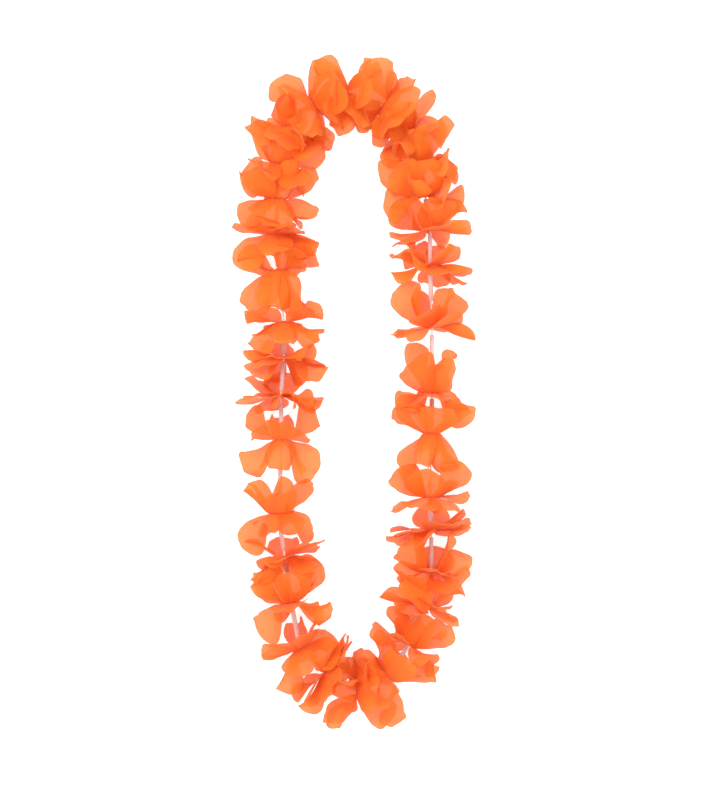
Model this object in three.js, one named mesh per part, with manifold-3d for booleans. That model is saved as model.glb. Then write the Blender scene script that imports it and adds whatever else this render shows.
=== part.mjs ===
// An artificial flower lei: orange die-cut fabric flowers and short plastic tubes threaded in turn on
// one cord, which is tied into a loop. It lies closed and stretched out on a flat surface.
// Millimetres, +Z up. The origin is on the surface, under the middle of the lei's outline.
// Seen from above with +Y up the page, the flowers are counted clockwise from the top.

import * as THREE from "three";
import { mergeVertices } from "three/addons/utils/BufferGeometryUtils.js";
import Module from "manifold-3d";

const wasm = await Module();
wasm.setup();

// Cord
const CORD_DIAMETER = 1.2;
const CORD_HEIGHT = 27; // of its middle above the surface
const CORD_RIPPLE = 1.2; // how much that height varies from flower to flower
const RIPPLE_STEP = 2.1; // radians of its wave from one flower to the next
const CORD_SIDES = 6;

// Spacer tubes
const TUBE_LENGTH = 22;
const TUBE_DIAMETER = 3.2;
const TUBE_BORE = 1.8;
const TUBE_SIDES = 6;
const TUBE_CLEARANCE = 0.3; // least gap between a tube and a flower

// Knot that closes the loop, and its two tails
const KNOT_GAP = 10; // the flower that it comes after
const KNOT_PLACE = 9; // before the next flower
const KNOT_RADIUS = 1.1; // of each of its two turns
const KNOT_TURNS = [-0.8, 0.8]; // where they lie, from the middle of the knot
const KNOT_CORE = { length: 4.4, diameter: 1.8 }; // the doubled cord that they grip
const CORD_END = 0.3; // from the middle of the knot to where each end is sunk in it
const TAIL_LENGTH = 7;
const TAIL_LEAN = 35; // degrees off the cord

// Flowers: two layers of fabric, each a disc cut into petals
const PETALS = 5;
const FABRIC = 0.8; // thickness of one layer
const LAYER_STEP = 0.39; // from the flower's middle to the middle of each layer
const HOLE_SIDES = 4;
const HOLE_DIAMETER = 2.4;
const NOTCH_RADIUS = 7; // where the cuts between the petals end
const FLOWER_RADIUS = 33;
const PETAL_WIDTH = 29;
const ROOT_WIDTH = 0.29; // of a petal at its root, as a share of its widest
const ROWS = [0.5, 0.86]; // stations along a petal: three points across the first, two across the other
const FOLD_SHARE = 0.75; // of a petal's lean that is a fold at its root
const ROOT_ROLL = 0.35; // share of a petal's roll that it has at its root
const ROLLED_UP = 1.5; // radians from the middle line to the edge, of a petal that is rolled up
const ROLLED_SHARE = 0.14; // of the petals
const WAVE_ACROSS = 2.4; // radians of a petal's wave from its middle line to its edge
const SWAY = 12; // degrees that a petal may sit off its place around the flower
const JITTER = 14; // degrees that it may lean more or less than its layer
const LEAST_TWIST = 2; // degrees that a sideways petal is twisted about its own length
const SEAT = 0.25; // height of pressed fabric's middle above the surface
const PRESSED = 2.5; // how much lower a petal's tip would reach if the surface didn't hold it up
const BORDER_MARGIN = 0.75; // fabric's middle stays this far from the border with the next flower
const CAUGHT_UP_REACH = 3; // how far it passes that border where two flowers are caught up together
const SETTLE_STEP = THREE.MathUtils.degToRad(5);
const SETTLE_TRIES = 14;
const SHORTEN = 0.94;
const LEAST_CURL = 1e-6;

// The least and the most that a petal may have of each.
const LENGTHS = [0.88, 1.08]; // share of its full length
const WIDTHS = [0.86, 1.06];
const TWISTS = [0.7, 1.3]; // share of its layer's twist
const ROLLS = [0.15, 0.7]; // radians from its middle line to its edge
const WAVES = [0.6, 1.8]; // height of the wave across its tip

// Each flower: x and y of its hole, then the place of the border with the next flower, as a share of
// the way there. Then, for its rear layer and for its front one, in degrees: the turn about the cord,
// how far the petals lean forward along it, how much more the upper ones do, how much more the outer
// ones do, and how far the sideways ones are twisted to show their faces.
const FLOWERS = [
  [-4.5, 224, 0.6, [0, -32, -10, 0, 60], [36, 34, 25, 0, 20]],
  [22.5, 215.5, 0.35, [18, -22, -35, 20, 70], [54, 14, 25, 0, 30]],
  [41, 196, 0.25, [10, -40, -25, 15, 20], [46, -5, 10, 0, 60]],
  [50.5, 171.5, 0.2, [0, -50, -15, 0, 75], [36, -35, -10, 0, 60]],
  [53.5, 146.5, 0.2, [0, -55, -20, 0, 75], [36, -35, -15, 0, 60]],
  [57, 121, 0.35, [54, -35, -30, 0, 50], [90, 5, -25, 15, 8]],
  [57, 95, 0.42, [18, -10, 30, 0, 10], [54, 8, -28, 0, 10]],
  [58.5, 48, 0.3, [36, -45, 25, 0, 65], [0, 2, -12, 0, 10]],
  [58.5, -1, 0.5, [50, -55, 5, 0, 70], [86, -8, 25, 0, 60]],
  [58, -31, 0.6, [10, -35, -20, 0, 40], [46, 38, 20, 0, 50]],
  [57, -79, 0.5, [18, -50, -15, 0, 60], [54, 2, 0, 0, 10]],
  [58, -104, 0.3, [0, -10, 0, -20, 10], [36, 8, 0, -20, 10]],
  [58, -136, 0.5, [20, -35, 40, 0, 70], [56, -14, 45, 0, 60]],
  [52.5, -161, 0.3, [0, -30, 0, 0, 30], [36, 5, 0, 0, 12]],
  [41, -189.5, 0.3, [10, -45, -15, 0, 70], [46, 0, 0, 0, 15]],
  [25.5, -213, 0.5, [20, -40, -10, 0, 70], [56, 25, 10, 0, 60]],
  [2, -223.5, 0.5, [8, -45, -10, 0, 60], [44, 20, 0, 0, 70]],
  [-22, -210, 0.4, [10, -6, 0, 0, 8], [46, 6, 0, 0, 8]],
  [-40.5, -192, 0.6, [0, -35, 10, 0, 60], [36, 20, 0, 0, 12]],
  [-47, -158, 0.6, [10, -25, 15, 0, 70], [46, 45, 10, 0, 60]],
  [-52, -123, 0.5, [20, -18, 20, 0, 12], [56, 5, 0, 0, 12]],
  [-57, -91, 0.65, [0, -10, 25, 0, 60], [36, 42, 5, 0, 40]],
  [-54, -36, 0.5, [15, -50, -10, 0, 70], [51, 22, -20, 0, 60]],
  [-55, -4, 0.4, [0, -8, 0, 12, 8], [36, 8, 0, 12, 8]],
  [-52.5, 27, 0.4, [18, -25, 28, 0, 30], [54, 0, 0, 0, 8]],
  [-52.5, 52.5, 0.25, [18, -26, 0, 0, 35], [54, 2, 0, 0, 15]],
  [-57, 91.5, 0.35, [0, -58, -15, 0, 75], [36, 12, 25, 10, 40]],
  [-58.5, 118.5, 0.45, [18, -42, -5, 0, 70], [54, 0, 0, 10, 15]],
  [-57.5, 144.5, 0.6, [18, -30, -15, 0, 50], [54, 38, 15, -10, 50]],
  [-56, 171, 0.8, [0, -15, 0, 0, 50], [36, 45, 20, 0, 70]],
  [-48.5, 196, 0.6, [24, -25, -10, 20, 60], [60, 5, 0, 46, 35]],
  [-30.5, 216, 0.7, [0, -5, 0, 0, 80], [36, 45, 10, 0, 70]],
];

// Flowers whose petals are caught up with those of the next one, by number.
const CAUGHT_UP = [1, 3, 13, 29, 31];

const SAME_POINT = 1e-4; // corners nearer than this are one
const ROOM = { width: 400, length: 800, height: 200 }; // more than the lei fills

const ORANGE = 0xff6a26;
const MILKY = 0xf3e9ec;
const WHITE = 0xfafafa;

const UP = new THREE.Vector3(0, 0, 1);
const TAU = Math.PI * 2;
const SECTOR = TAU / PETALS;
const LAYERS = [-1, 1]; // the rear layer of a flower and the front one
const HUB_REACH = NOTCH_RADIUS * Math.cos(SECTOR / 2); // from the cord to the root of a petal
const radians = THREE.MathUtils.degToRad;
const between = ([least, most], share) => THREE.MathUtils.lerp(least, most, share);
const number = (i) => String(i + 1).padStart(2, "0");
const next = (i) => (i + 1) % FLOWERS.length;
const last = (i) => (i + FLOWERS.length - 1) % FLOWERS.length;

// A repeatable draw from 0 to 1 for petal j of flower i, kind by kind.
function draw(i, j, kind) {
  const x = Math.sin(i * 12.9898 + j * 78.233 + kind * 37.719) * 43758.5453;
  return x - Math.floor(x);
}

// ---- Where the flowers sit and which way they face ----

function threaded() {
  const hubs = FLOWERS.map(([x, y], i) => {
    return new THREE.Vector3(x, y, CORD_HEIGHT + CORD_RIPPLE * Math.sin(RIPPLE_STEP * i));
  });
  const ways = hubs.map((hub, i) => hubs[next(i)].clone().sub(hub).normalize());
  const borders = hubs.map((hub, i) => hub.clone().lerp(hubs[next(i)], FLOWERS[i][2]));
  return FLOWERS.map(([, , , ...layers], i) => {
    const ahead = ways[last(i)].clone().add(ways[i]).normalize();
    const outward = UP.clone().cross(ahead).normalize();
    const upward = ahead.clone().cross(outward);
    return {
      hub: hubs[i],
      ahead,
      outward,
      upward,
      poses: layers.map((angles) => angles.map(radians)),
      behind: { point: borders[last(i)], way: ways[last(i)].clone().negate(), open: CAUGHT_UP.includes(i) },
      before: { point: borders[i], way: ways[i], open: CAUGHT_UP.includes(i + 1) },
      halfTurn: ways[last(i)].angleTo(ways[i]) / 2,
    };
  });
}

// ---- Petals ----

// A petal's half width at station s, as a share of the widest: a narrow root, then a round lobe.
function widthAt(s) {
  if (s < 0.5) return ROOT_WIDTH + (1 - ROOT_WIDTH) * Math.sin(Math.PI * s);
  return Math.sqrt(Math.max(0, 1 - (2 * s - 1) ** 2));
}

// A point of a petal's middle surface: s runs along it and q across it, from -1 to 1.
function petalPoint(flower, petal, s, q) {
  const outward = flower.outward.clone().multiplyScalar(Math.cos(petal.azimuth));
  outward.addScaledVector(flower.upward, Math.sin(petal.azimuth));
  const sideways = flower.upward.clone().multiplyScalar(Math.cos(petal.azimuth));
  sideways.addScaledVector(flower.outward, -Math.sin(petal.azimuth));
  const fold = petal.bend * FOLD_SHARE;
  const curl = petal.bend - fold || LEAST_CURL;
  const angle = fold + curl * s;
  const out = (Math.sin(angle) - Math.sin(fold)) / curl;
  const along = (Math.cos(fold) - Math.cos(angle)) / curl;
  const normal = flower.ahead.clone().multiplyScalar(Math.cos(angle));
  normal.addScaledVector(outward, -Math.sin(angle));
  const twist = petal.twist * s;
  const across = sideways.clone().multiplyScalar(Math.cos(twist)).addScaledVector(normal, Math.sin(twist));
  const face = normal.multiplyScalar(Math.cos(twist)).addScaledVector(sideways, -Math.sin(twist));
  const half = petal.width / 2;
  const wide = widthAt(s);
  const roll = petal.roll * (ROOT_ROLL + (1 - ROOT_ROLL) * s);
  const wave = petal.wave * s * Math.sin(WAVE_ACROSS * q * wide + petal.phase);
  const point = flower.hub.clone();
  point.addScaledVector(outward, HUB_REACH + petal.length * out);
  point.addScaledVector(flower.ahead, petal.side * (LAYER_STEP + half * wide * Math.abs(Math.sin(twist))));
  point.addScaledVector(flower.ahead, petal.length * along);
  point.addScaledVector(across, (half * Math.sin(roll * q * wide)) / roll);
  point.addScaledVector(face, (half * (1 - Math.cos(roll * q * wide))) / roll + wave);
  point.z = Math.max(point.z, SEAT);
  return point;
}

// How far the lowest point of a petal's midrib would lie below the surface, if nothing held it up.
function sunk(flower, petal) {
  const fold = petal.bend * FOLD_SHARE;
  const curl = petal.bend - fold || LEAST_CURL;
  const out = (Math.sin(petal.bend) - Math.sin(fold)) / curl;
  const reach = HUB_REACH + petal.length * out;
  return SEAT - flower.hub.z - reach * Math.sin(petal.azimuth);
}

function crosses(flower, petal, border) {
  const margin = border.open ? -CAUGHT_UP_REACH : BORDER_MARGIN;
  for (const s of [...ROWS, 1]) {
    for (const q of [-1, 0, 1]) {
      const point = petalPoint(flower, petal, s, q).sub(border.point);
      if (point.dot(border.way) > -margin) return true;
    }
  }
  return false;
}

// Bends a petal off the surface and off its neighbours, and shortens it where bending alone can't.
function settle(flower, petal) {
  const lean = petal.bend < 0 ? -1 : 1;
  for (let cut = 0; cut < SETTLE_TRIES; cut += 1) {
    for (let step = 0; step < SETTLE_TRIES; step += 1) {
      const behind = crosses(flower, petal, flower.behind);
      const ahead = crosses(flower, petal, flower.before);
      const low = sunk(flower, petal) > PRESSED;
      if (!behind && !ahead && !low) return petal;
      if (behind && ahead) break;
      if (ahead) petal.bend -= SETTLE_STEP;
      else if (behind) petal.bend += SETTLE_STEP;
      else petal.bend += lean * SETTLE_STEP;
    }
    petal.length *= SHORTEN;
  }
  return petal;
}

function petalsOf(flower, i, layer) {
  const [turn, lean, nod, yaw, twist] = flower.poses[layer];
  return Array.from({ length: PETALS }, (_, k) => {
    const j = layer * PETALS + k;
    const azimuth = turn + SECTOR * k + radians(SWAY) * (2 * draw(i, j, 1) - 1);
    const jitter = radians(JITTER) * (2 * draw(i, j, 2) - 1);
    const turned = (radians(LEAST_TWIST) + twist) * between(TWISTS, draw(i, j, 5));
    const roll = draw(i, j, 13) < ROLLED_SHARE ? ROLLED_UP : between(ROLLS, draw(i, j, 6));
    return settle(flower, {
      azimuth,
      bend: lean + nod * Math.sin(azimuth) + yaw * Math.cos(azimuth) + jitter,
      side: LAYERS[layer],
      length: (FLOWER_RADIUS - HUB_REACH) * between(LENGTHS, draw(i, j, 3)),
      width: PETAL_WIDTH * between(WIDTHS, draw(i, j, 4)),
      twist: LAYERS[layer] * Math.cos(azimuth) * turned,
      roll: draw(i, j, 14) < 0.5 ? roll : -roll,
      wave: between(WAVES, draw(i, j, 7)),
      phase: TAU * draw(i, j, 8),
    });
  });
}

// ---- Solids ----

function hubPoint(flower, azimuth, radius, offset) {
  const point = flower.hub.clone().addScaledVector(flower.ahead, offset);
  point.addScaledVector(flower.outward, radius * Math.cos(azimuth));
  return point.addScaledVector(flower.upward, radius * Math.sin(azimuth));
}

// The middle surface of one layer: a small hub with a hole, and its petals, as points and triangles.
function layerSheet(flower, i, layer) {
  const offset = LAYERS[layer] * LAYER_STEP;
  const holeRadius = HOLE_DIAMETER / 2 / Math.cos(Math.PI / HOLE_SIDES);
  const petals = petalsOf(flower, i, layer);
  const notches = petals.map((petal, k) => {
    const after = petals[(k + 1) % PETALS].azimuth + (k + 1 === PETALS ? TAU : 0);
    return (petal.azimuth + after) / 2;
  });
  const rim = notches.map((a) => new THREE.Vector2(Math.cos(a), Math.sin(a)).multiplyScalar(NOTCH_RADIUS));
  const hole = Array.from({ length: HOLE_SIDES }, (_, k) => {
    const a = -(TAU * k) / HOLE_SIDES;
    return new THREE.Vector2(Math.cos(a), Math.sin(a)).multiplyScalar(holeRadius);
  });
  const flat = [...rim, ...hole];
  const points = flat.map((p) => hubPoint(flower, p.angle(), p.length(), offset));
  const faces = THREE.ShapeUtils.triangulateShape(rim, [hole]);
  petals.forEach((petal, k) => {
    const right = (k + PETALS - 1) % PETALS;
    const left = k;
    const at = points.length;
    for (const q of [-1, 0, 1]) points.push(petalPoint(flower, petal, ROWS[0], q));
    for (const q of [-1, 1]) points.push(petalPoint(flower, petal, ROWS[1], q));
    points.push(petalPoint(flower, petal, 1, 0));
    const [a, b, c, d, e, tip] = [0, 1, 2, 3, 4, 5].map((n) => at + n);
    faces.push([right, b, left], [right, a, b], [b, c, left]);
    faces.push([a, d, b], [b, d, e], [b, e, c], [d, tip, e]);
  });
  return { points, faces };
}

// Gives a sheet its thickness. Both of its faces are split into the same triangles.
function thicken({ points, faces }, thickness) {
  const normals = points.map(() => new THREE.Vector3());
  const edge = new THREE.Vector3();
  for (const [a, b, c] of faces) {
    const normal = edge.subVectors(points[b], points[a]).clone();
    normal.cross(edge.subVectors(points[c], points[a]));
    for (const v of [a, b, c]) normals[v].add(normal);
  }
  normals.forEach((normal) => normal.normalize());
  const shifted = (by) => points.map((p, v) => p.clone().addScaledVector(normals[v], by));
  const count = points.length;
  const solid = [];
  const open = new Map();
  for (const [a, b, c] of faces) {
    solid.push([a, b, c], [c + count, b + count, a + count]);
    for (const [from, to] of [[a, b], [b, c], [c, a]]) {
      if (!open.delete(`${to} ${from}`)) open.set(`${from} ${to}`, [from, to]);
    }
  }
  for (const [from, to] of open.values()) {
    solid.push([from, from + count, to + count], [from, to + count, to]);
  }
  return asManifold(bufferGeometry([...shifted(thickness / 2), ...shifted(-thickness / 2)], solid));
}

function bufferGeometry(points, triangles) {
  const geometry = new THREE.BufferGeometry();
  const places = points.flatMap((p) => [p.x, p.y, p.z]);
  geometry.setAttribute("position", new THREE.Float32BufferAttribute(places, 3));
  geometry.setIndex(triangles.flat());
  return geometry;
}

function asManifold(geometry) {
  geometry.deleteAttribute("normal");
  geometry.deleteAttribute("uv");
  const merged = mergeVertices(geometry, SAME_POINT);
  const mesh = new wasm.Mesh({
    numProp: 3,
    vertProperties: new Float32Array(merged.attributes.position.array),
    triVerts: new Uint32Array(merged.index.array),
  });
  return new wasm.Manifold(mesh);
}

// The largest closed body of a solid, without loose scraps or sealed hollows.
function mainBody(solid) {
  const bodies = solid.decompose();
  return bodies.reduce((best, body) => (body.volume() > best.volume() ? body : best));
}

function fromManifold(solid) {
  const { numProp, vertProperties, triVerts } = solid.getMesh();
  const geometry = new THREE.BufferGeometry();
  geometry.setAttribute("position", new THREE.BufferAttribute(new Float32Array(vertProperties), numProp));
  geometry.setIndex(new THREE.BufferAttribute(new Uint32Array(triVerts), 1));
  geometry.computeVertexNormals();
  return geometry;
}

const room = new THREE.BoxGeometry(ROOM.width, ROOM.length, ROOM.height);
const aboveSurface = asManifold(room.translate(0, 0, ROOM.height / 2));

// The two layers of a flower, with what lies flat on the surface cut level with it.
function flowerSolid(flower, i) {
  const [rear, front] = LAYERS.map((_, layer) => thicken(layerSheet(flower, i, layer), FABRIC));
  return rear.add(front).intersect(aboveSurface);
}

// ---- Cord and spacer tubes ----

// How far from a flower's middle a tube has to stop, because the cord turns there.
function standoff(flower) {
  return LAYER_STEP + FABRIC / 2 + TUBE_CLEARANCE + (TUBE_DIAMETER / 2) * Math.sin(flower.halfTurn);
}

function gapBetween(flowers, i) {
  const before = flowers[i];
  const after = flowers[next(i)];
  const way = after.hub.clone().sub(before.hub).normalize();
  const from = before.hub.clone().addScaledVector(way, standoff(before));
  const to = after.hub.clone().addScaledVector(way, -standoff(after));
  return { from, to, way, room: to.distanceTo(from) };
}

// How far along its gap each spacer starts, as a share of the free length there.
const SLIDES = { 7: 0.15, 8: 0.17, 21: 0.4, 22: 0.45, [KNOT_GAP]: 0 };

function spacerGeometry() {
  const ring = (radius) => {
    const corner = radius / Math.cos(Math.PI / TUBE_SIDES);
    return Array.from({ length: TUBE_SIDES }, (_, k) => {
      return new THREE.Vector2(0, corner).rotateAround(new THREE.Vector2(), (TAU * k) / TUBE_SIDES);
    });
  };
  const section = new THREE.Shape(ring(TUBE_DIAMETER / 2));
  section.holes.push(new THREE.Path(ring(TUBE_BORE / 2)));
  return new THREE.ExtrudeGeometry(section, { depth: TUBE_LENGTH, bevelEnabled: false });
}

// A curve that passes straight from each of its points to the next, with a step at each.
class Threading extends THREE.Curve {
  constructor(points) {
    super();
    this.points = points;
  }

  getPoint(t, target = new THREE.Vector3()) {
    return target.copy(this.points[Math.round(t * (this.points.length - 1))]);
  }

  getPointAt(u, target) {
    return this.getPoint(u, target);
  }

  getTangentAt(u, target = new THREE.Vector3()) {
    const at = Math.round(u * (this.points.length - 1));
    const before = this.points[Math.max(at - 1, 0)];
    const after = this.points[Math.min(at + 1, this.points.length - 1)];
    const here = this.points[at];
    const arriving = here.clone().sub(before).normalize();
    const leaving = after.clone().sub(here).normalize();
    return target.copy(arriving).add(leaving).normalize();
  }
}

function strand(points, diameter = CORD_DIAMETER) {
  const section = new THREE.Shape();
  section.absarc(0, 0, diameter / 2, 0, TAU);
  const outline = new THREE.Shape(section.getSpacedPoints(CORD_SIDES).slice(0, CORD_SIDES));
  const path = new Threading(points);
  return asManifold(new THREE.ExtrudeGeometry(outline, { steps: points.length - 1, extrudePath: path }));
}

function cordGeometry(flowers) {
  const gap = gapBetween(flowers, KNOT_GAP - 1);
  const middle = gap.to.clone().addScaledVector(gap.way, -KNOT_PLACE);
  const along = (place) => middle.clone().addScaledVector(gap.way, place);
  const holes = flowers.map((_, n) => flowers[(KNOT_GAP + n) % flowers.length].hub);
  const core = strand([along(-KNOT_CORE.length / 2), along(KNOT_CORE.length / 2)], KNOT_CORE.diameter);
  let cord = strand([along(CORD_END), ...holes, along(-CORD_END)]).add(core);
  for (const place of KNOT_TURNS) {
    const turn = new THREE.TorusGeometry(KNOT_RADIUS, CORD_DIAMETER / 2, 4, 6);
    turn.lookAt(gap.way).translate(...along(place));
    const way = gap.way.clone().applyAxisAngle(UP, Math.sign(place) * radians(TAIL_LEAN));
    const tail = strand([along(place), along(place).addScaledVector(way, TAIL_LENGTH)]);
    cord = cord.add(asManifold(turn)).add(tail);
  }
  return fromManifold(mainBody(cord));
}

// ---- The lei ----

function fabric() {
  const sides = { side: THREE.DoubleSide };
  return new THREE.MeshStandardMaterial({ color: ORANGE, roughness: 0.75, metalness: 0, ...sides });
}

const lei = new THREE.Group();
const flowers = threaded();

flowers.forEach((flower, i) => {
  if (CAUGHT_UP.includes(i)) return;
  const both = CAUGHT_UP.includes(i + 1);
  const alone = flowerSolid(flower, i);
  const solid = both ? alone.add(flowerSolid(flowers[i + 1], i + 1)) : alone;
  const mesh = new THREE.Mesh(fromManifold(mainBody(solid)), fabric());
  mesh.name = both ? `flowers_${number(i)}_${number(i + 1)}` : `flower_${number(i)}`;
  lei.add(mesh);
});

flowers.forEach((flower, i) => {
  const gap = gapBetween(flowers, i);
  const material = new THREE.MeshStandardMaterial({ color: MILKY, roughness: 0.3, metalness: 0 });
  const mesh = new THREE.Mesh(spacerGeometry(), material);
  const share = SLIDES[i + 1] ?? 0.5;
  mesh.name = `spacer_${number(i)}`;
  mesh.position.copy(gap.from).addScaledVector(gap.way, (gap.room - TUBE_LENGTH) * share);
  mesh.quaternion.setFromUnitVectors(UP, gap.way);
  lei.add(mesh);
});

const cord = new THREE.Mesh(
  cordGeometry(flowers),
  new THREE.MeshStandardMaterial({ color: WHITE, roughness: 0.8, metalness: 0 }),
);
cord.name = "cord";
lei.add(cord);

export default lei;
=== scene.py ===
"""An artificial flower lei: thin orange cloth flowers and milky tubes threaded on a twisted cord."""
import math
from types import SimpleNamespace

import bpy
import numpy as np
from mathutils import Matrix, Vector


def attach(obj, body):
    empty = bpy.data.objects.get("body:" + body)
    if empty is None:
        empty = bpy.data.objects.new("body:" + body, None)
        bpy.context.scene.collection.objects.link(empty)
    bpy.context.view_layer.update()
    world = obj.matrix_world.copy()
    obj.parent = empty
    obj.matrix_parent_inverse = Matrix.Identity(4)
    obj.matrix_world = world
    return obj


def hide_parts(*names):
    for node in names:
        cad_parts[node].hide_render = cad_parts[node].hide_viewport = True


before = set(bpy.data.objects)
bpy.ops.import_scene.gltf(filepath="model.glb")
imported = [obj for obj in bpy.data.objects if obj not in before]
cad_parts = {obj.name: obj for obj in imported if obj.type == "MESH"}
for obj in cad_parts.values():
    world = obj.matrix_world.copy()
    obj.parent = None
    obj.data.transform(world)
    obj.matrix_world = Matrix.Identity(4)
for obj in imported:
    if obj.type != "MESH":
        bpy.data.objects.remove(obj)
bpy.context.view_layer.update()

# The lei's sizes are in millimetres up to where a piece's mesh is made in metres.
MM = 0.001

# Camera, straight above the lei
FRAME_HEIGHT = 592.5  # what the picture takes in at the height of the cord
FRAME_CENTRE = (4.5, -2.25)
LENS = 120
SENSOR = 36

# Studio, in metres and watts
SEEN_TO = 20.0
FLOOR_REACH = 4.0
FLOOR_GREY = 0.5
FLOOR_GLOW = 0.85  # the surface in the photo is nearly without shadow
STUDIO_BRIGHTNESS = 0.97
LAMPS = {
    "key": SimpleNamespace(place=(-0.6, 0.7, 1.7), size=0.7, power=19.0),
    "fill": SimpleNamespace(place=(0.9, -0.3, 1.3), size=1.2, power=6.0),
}

# Cord, twisted from a few plies
CORD_DIAMETER = 1.2
CORD_HEIGHT = 27  # of its middle above the surface
CORD_RIPPLE = 1.2  # how much that height varies from flower to flower
RIPPLE_STEP = 2.1  # radians of its wave from one flower to the next
PLIES = 3
PLY_DIAMETER = 0.62
PLY_PITCH = 5.5
PLY_STEP = 0.55  # between the points of its route
PLY_SIDES = 7

# Knot that closes the loop, and its two tails
KNOT_GAP = 10  # the flower that it comes after
KNOT_PLACE = 9  # before the next flower
KNOT_RADIUS = 1.1
KNOT_REACH = 2.2  # along the cord
KNOT_TURNS = 2
KNOT_STEPS = 40
KNOT_LOBES = 3
KNOT_UNEVENNESS = 0.15  # of its radius
TAIL_LENGTH = 7
TAIL_LEAN = math.radians(35)  # off the cord
TAIL_BOW = 1.2
TAIL_STEPS = 14

# Spacer tubes
TUBE_LENGTH = 22
TUBE_DIAMETER = 3.2
TUBE_WALL = 0.35
TUBE_LIP = 0.12  # rounding of its cut ends
TUBE_SIDES = 28
TUBE_CLEARANCE = 0.3  # least gap between a tube and a flower's solid
SQUEEZE = 0.04  # how far out of round a tube may be, as a share of its radius
SQUEEZE_STEP = 3  # radians of its wave from one tube to the next
SOLID_FABRIC = 0.8  # thickness of one layer of a flower's solid
# How far along its gap each spacer starts, as a share of the free length there.
SLIDES = {7: 0.15, 8: 0.17, KNOT_GAP: 0, 21: 0.4, 22: 0.45}
CENTRED = 0.5

# Flowers: two layers of cloth, each a disc cut into petals
PETALS = 5
CLOTH = 0.28  # thickness of one layer
HOLE_RADIUS = 1.25
NOTCH_RADIUS = 7  # where the cuts between the petals end
FLOWER_RADIUS = 33
PETAL_WIDTH = 29
ROOT_WIDTH = 0.29  # of a petal at its root, as a share of its widest
MIDDLE = 0.5  # station where a petal is widest, and the middle of its lobe
FOLD_SHARE = 0.75  # of a petal's lean that is a fold at its root
ROOT_ROLL = 0.35  # share of a petal's roll that it has at its root
ROLLED_UP = 1.5  # radians from the middle line to the edge, of a petal that is rolled up
ROLLED_SHARE = 0.14  # of the petals
WAVE_ACROSS = 2.4  # radians of a petal's wave from its middle line to its edge
SWAY = math.radians(12)  # how far a petal may sit off its place around the flower
JITTER = math.radians(14)  # how much more or less it may lean than its layer
LEAST_TWIST = math.radians(2)  # of a sideways petal about its own length
LAYER_STEP = 0.39  # from the flower's middle to the middle of each layer of its solid
SOLID_ROWS = (0.5, 0.86, 1)  # stations along the solid of a petal, where it is held against its borders
SOLID_ACROSS = (-1, 0, 1)  # and places across it
SEAT = 0.3  # height of the lowest cloth's middle above the surface
PRESSED = 2.5  # how much lower a petal's tip would reach if the surface didn't hold it up
BORDER_REACH = 5  # how far it may pass the border with the next flower
CAUGHT_UP_REACH = 9  # the same, where the two flowers are caught up together
SETTLE_STEP = math.radians(5)
SETTLE_TRIES = 14
SHORTEN = 0.94
LEAST_CURL = 1e-6

# What a petal of cloth has and its solid hasn't
CLOTH_STEP = 0.16  # from the flower's middle to the middle of each layer, pressed together
TWISTED_BY = 0.6  # station where its narrow part ends and its lobe lies flat
STRAY = math.radians(9)  # how far it may sit round the flower from its solid
SAG = math.radians(16)  # how much more or less it may lean
FINGER_ROLL = 1.9  # how many times as far a rolled petal is rolled
PINCHED = 2.1  # radians from the middle line to the edge, of a petal that is pinched lengthwise
PINCHED_SHARE = 0.18  # of the petals
SEAT_STEP = 0.12  # how much higher each petal of a flower comes down than the one before
SEAT_EASE = 1  # how far above the surface it starts to give

# The least and the most that a petal may have of each.
LENGTHS = (0.88, 1.08)  # share of its full length
WIDTHS = (0.86, 1.06)
TWISTS = (0.7, 1.3)  # share of its layer's twist
ROLLS = (0.15, 0.7)  # radians from its middle line to its edge
WAVES = (0.6, 1.8)  # height of the wave across its tip
CRUMPLES = (0.5, 1.3)  # share of the unevenness below
SPREADS = (0.25, 1)  # how evenly it stands off the other layer from root to tip, where it is twisted

# Soft folds along a petal: height, then radians across its half width, along it, and for its phase.
FOLDS = ((1.1, 5.2, 1.3, 3), (0.6, 11, 0, 7))
FOLDS_FADE = 0.3  # share of their height that they lose by the tip
# Waves round a lobe: height, waves in one turn, and radians for the petal's phase.
FLUTTER = ((0.9, 3, 4), (0.35, 7, 2))
EDGE_CUT = ((0.035, 3, 3), (0.024, 7, 5), (0.008, 13, 2))
EDGE_CUT_FROM = 1 / 3  # station from which the cut is at its full height

# A loose thread at the cut edge of each petal
FRAY_LENGTH = 5
FRAY_DIAMETER = 0.22
FRAY_STATIONS = (0.5, 0.95)
FRAY_LENGTHS = (0.4, 1)  # share of the full length
FRAY_FROM = 0.8  # place across the petal that it points away from
FRAY_BOW = 0.4
FRAY_STEPS = 6
FRAY_SIDES = 3

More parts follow.
